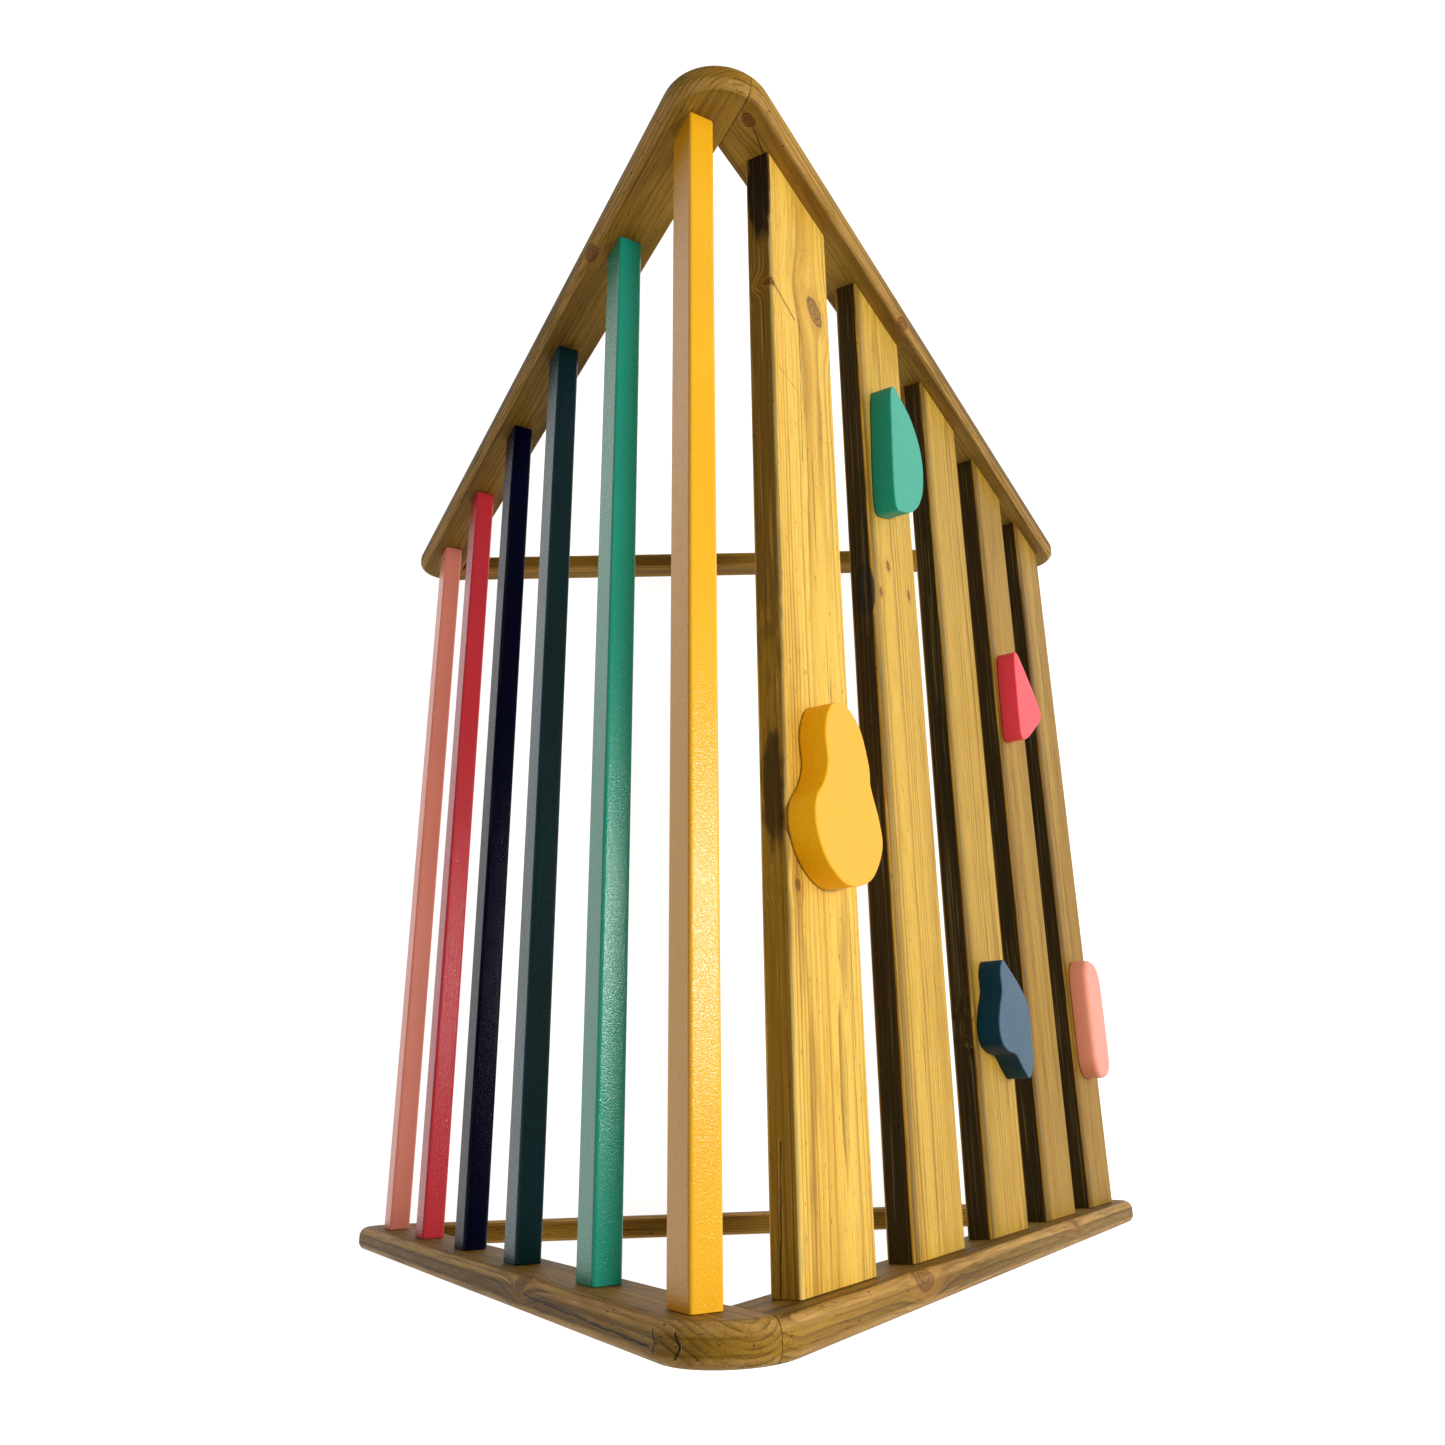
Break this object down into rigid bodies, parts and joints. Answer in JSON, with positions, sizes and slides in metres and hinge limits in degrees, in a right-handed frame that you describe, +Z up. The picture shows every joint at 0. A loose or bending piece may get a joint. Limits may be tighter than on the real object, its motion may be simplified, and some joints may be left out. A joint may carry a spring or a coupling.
{
  "type": "climbing frame",
  "caption": "A-frame climbing wall for children: two timber A-frames joined by painted rungs down one slope and planks with wooden climbing holds down the other.",
  "frame": {"origin": "on the ground, under the ridge, half-way between the two frames", "axes": "+Z up; +Y along the rungs from the near frame to the far one; +X towards the plank side, -X towards the rung side"},
  "size_m": [1.0578, 1.054, 0.9657],
  "materials": {
    "treated_timber": "planed softwood, pressure treated, brown-olive, matt oiled",
    "plank_timber": "planed softwood, pressure treated, yellow-olive, matt oiled",
    "paint_yellow": "semi-gloss paint on wood",
    "paint_green": "semi-gloss paint on wood",
    "paint_teal": "semi-gloss paint on wood",
    "paint_navy": "semi-gloss paint on wood",
    "paint_red": "semi-gloss paint on wood",
    "paint_coral": "semi-gloss paint on wood",
    "screw_steel": "zinc-plated wood screws, dulled"
  },
  "bodies": {
    "root": {"apex_screw_far_1": "screw_steel", "apex_screw_far_2": "screw_steel", "apex_screw_near_1": "screw_steel", "apex_screw_near_2": "screw_steel", "ground_rail_far": "treated_timber", "ground_rail_near": "treated_timber", "hold_coral": "paint_coral", "hold_green": "paint_green", "hold_red": "paint_red", "hold_teal": "paint_teal", "hold_yellow": "paint_yellow", "leg_plank_side_far": "treated_timber", "leg_plank_side_near": "treated_timber", "leg_rung_side_far": "treated_timber", "leg_rung_side_near": "treated_timber", "plank_1": "plank_timber", "plank_2": "plank_timber", "plank_3": "plank_timber", "plank_4": "plank_timber", "plank_5": "plank_timber", "plank_screw_far_1": "screw_steel", "plank_screw_far_10": "screw_steel", "plank_screw_far_2": "screw_steel", "plank_screw_far_3": "screw_steel", "plank_screw_far_4": "screw_steel", "plank_screw_far_5": "screw_steel", "plank_screw_far_6": "screw_steel", "plank_screw_far_7": "screw_steel", "plank_screw_far_8": "screw_steel", "plank_screw_far_9": "screw_steel", "plank_screw_near_1": "screw_steel", "plank_screw_near_10": "screw_steel", "plank_screw_near_2": "screw_steel", "plank_screw_near_3": "screw_steel", "plank_screw_near_4": "screw_steel", "plank_screw_near_5": "screw_steel", "plank_screw_near_6": "screw_steel", "plank_screw_near_7": "screw_steel", "plank_screw_near_8": "screw_steel", "plank_screw_near_9": "screw_steel", "rung_1_yellow": "paint_yellow", "rung_2_green": "paint_green", "rung_3_teal": "paint_teal", "rung_4_navy": "paint_navy", "rung_5_red": "paint_red", "rung_6_coral": "paint_coral", "rung_screw_far_1": "screw_steel", "rung_screw_far_2": "screw_steel", "rung_screw_far_3": "screw_steel", "rung_screw_far_4": "screw_steel", "rung_screw_far_5": "screw_steel", "rung_screw_far_6": "screw_steel", "rung_screw_near_1": "screw_steel", "rung_screw_near_2": "screw_steel", "rung_screw_near_3": "screw_steel", "rung_screw_near_4": "screw_steel", "rung_screw_near_5": "screw_steel", "rung_screw_near_6": "screw_steel"}
  },
  "joints": []
}
